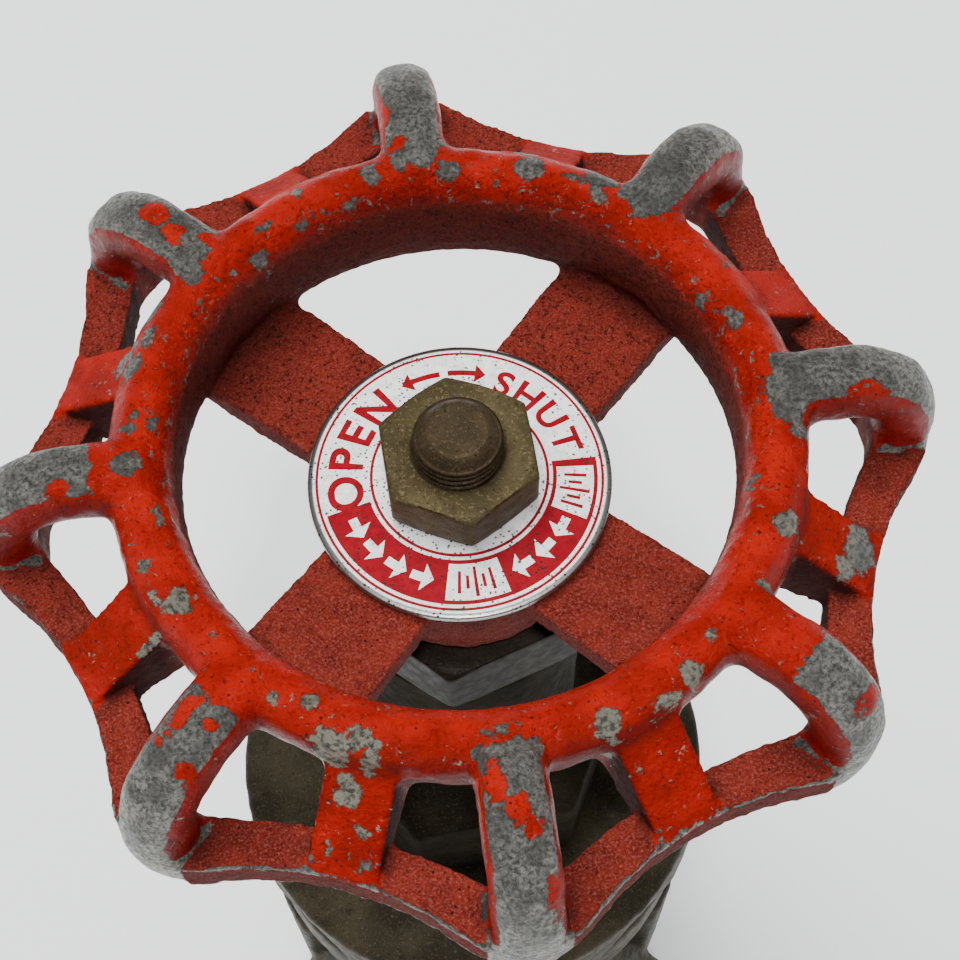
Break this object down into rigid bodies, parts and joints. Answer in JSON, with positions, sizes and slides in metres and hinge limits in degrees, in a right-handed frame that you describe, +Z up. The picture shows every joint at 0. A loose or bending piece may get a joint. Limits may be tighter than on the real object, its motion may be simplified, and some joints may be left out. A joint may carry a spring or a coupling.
{
  "type": "gate valve",
  "caption": "Screwed-end gate valve with a lobed handwheel on a non-rising stem that lifts a wedge out of the flow passage.",
  "frame": {"origin": "middle of the face that the valve stands on, which is the lower flats of its two end hexagons, below the stem axis", "axes": "+Z up along the stem towards the handwheel, +Y along the flow passage"},
  "size_m": [0.0852, 0.0852, 0.169],
  "materials": {
    "cast_bronze": "tarnished sand-cast bronze, dull",
    "dark_bronze": "dark oxidised bronze",
    "gland_brass": "turned, satin",
    "packing": "graphited braid, matt",
    "stem_brass": "aged turned brass",
    "wedge_bronze": "cast bronze with machined faces",
    "wheel_paint": "chipped glossy red enamel over malleable iron",
    "plate_aluminium": "printed plate, speckled with age"
  },
  "bodies": {
    "root": {"body": "cast_bronze", "bonnet": "cast_bronze", "stuffing_box": "cast_bronze", "packing_nut": "dark_bronze", "packing_gland": "gland_brass", "packing_ring_1": "packing", "packing_ring_2": "packing", "packing_ring_3": "packing", "packing_ring_4": "packing"},
    "spindle": {"stem": "stem_brass", "handwheel": "wheel_paint", "nameplate": "plate_aluminium", "wheel_nut": "stem_brass"},
    "gate": {"wedge": "wedge_bronze"}
  },
  "joints": [
    {"name": "handwheel_turn", "type": "hinge", "parent": "root", "child": "spindle", "pos_m": [0, 0, 0.1581], "axis": [0, 0, 1], "range_deg": [0, 4116]},
    {"name": "wedge_lift", "type": "slide", "parent": "root", "child": "gate", "axis": [0, 0, 1], "range_m": [0, 0.0343]}
  ],
  "couplings": [
    {"joint": "wedge_lift", "follows": "handwheel_turn", "m_per_rad": 0.00047746}
  ]
}
